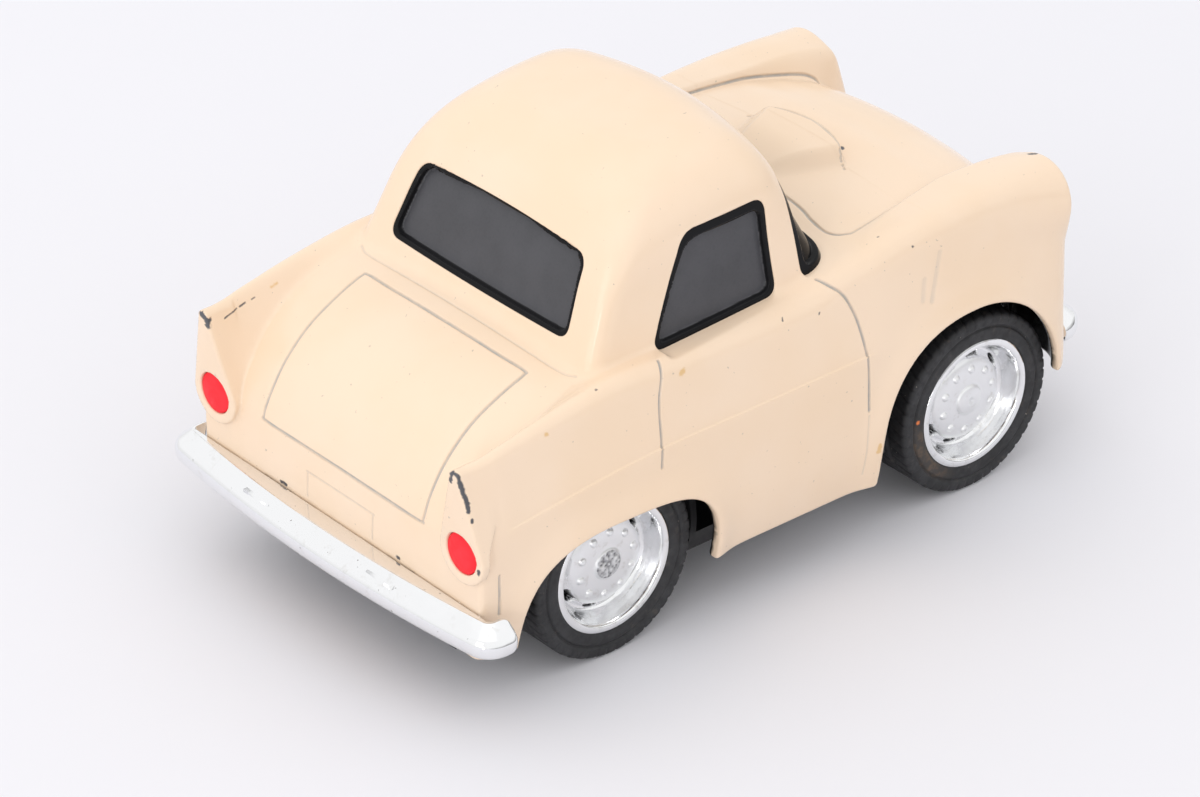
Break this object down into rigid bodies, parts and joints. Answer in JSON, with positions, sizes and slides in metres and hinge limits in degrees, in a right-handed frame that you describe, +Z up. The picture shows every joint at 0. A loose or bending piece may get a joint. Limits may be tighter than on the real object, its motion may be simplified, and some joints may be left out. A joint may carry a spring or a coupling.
{
  "type": "pull-back toy car",
  "caption": "Chubby die-cast toy coupe with tail fins, dark opaque glazing, chromed bumpers and wheels, rubber tyres and a hidden spring motor geared to the rear axle.",
  "frame": {"origin": "on the floor that the tyres stand on, under the middle of the car's length and width", "axes": "+X to the front of the car, +Y to its left side, +Z up"},
  "size_m": [0.0914, 0.0524, 0.0496],
  "materials": {
    "paint": "gloss ivory enamel with worn edges",
    "glazing": "gloss black, opaque",
    "base": "fine matte",
    "steel": "plain bright wire",
    "chrome": "vacuum-plated plastic",
    "lens": "silvered",
    "red_lamp": "printed flat red",
    "tyre": "soft rubber",
    "motor": "plain moulded",
    "gear": "natural acetal"
  },
  "bodies": {
    "car": {"body_shell": "paint", "window_insert": "glazing", "chassis": "base", "chassis_screws": "steel", "front_bumper": "chrome", "rear_bumper": "chrome", "grille": "chrome", "headlamp_left": "lens", "headlamp_right": "lens", "tail_lamp_left": "red_lamp", "tail_lamp_right": "red_lamp", "motor_case": "motor", "motor_cover": "motor", "idler_pin": "steel", "spring_arbor_pin": "steel", "mainspring": "steel"},
    "front_wheelset": {"front_axle": "steel", "wheel_front_left": "chrome", "wheel_front_right": "chrome", "tyre_front_left": "tyre", "tyre_front_right": "tyre"},
    "rear_wheelset": {"rear_axle": "steel", "axle_pinion": "gear", "wheel_rear_left": "chrome", "wheel_rear_right": "chrome", "tyre_rear_left": "tyre", "tyre_rear_right": "tyre"},
    "idler": {"idler_gear": "gear"},
    "spring_wheel": {"spring_gear": "gear"}
  },
  "joints": [
    {"name": "front_axle_turn", "type": "hinge", "parent": "car", "child": "front_wheelset", "pos_m": [0.0268, 0, 0.0103], "axis": [0, 1, 0], "continuous": true},
    {"name": "rear_axle_turn", "type": "hinge", "parent": "car", "child": "rear_wheelset", "pos_m": [-0.0232, 0, 0.0103], "axis": [0, 1, 0], "continuous": true},
    {"name": "idler_turn", "type": "hinge", "parent": "car", "child": "idler", "pos_m": [-0.01581, 0, 0.0145], "axis": [0, 1, 0], "continuous": true},
    {"name": "spring_wheel_turn", "type": "hinge", "parent": "car", "child": "spring_wheel", "pos_m": [-0.00591, 0, 0.0159], "axis": [0, 1, 0], "continuous": true}
  ],
  "couplings": [
    {"joint": "idler_turn", "follows": "rear_axle_turn", "ratio": -0.41667},
    {"joint": "spring_wheel_turn", "follows": "rear_axle_turn", "ratio": 0.13889}
  ]
}
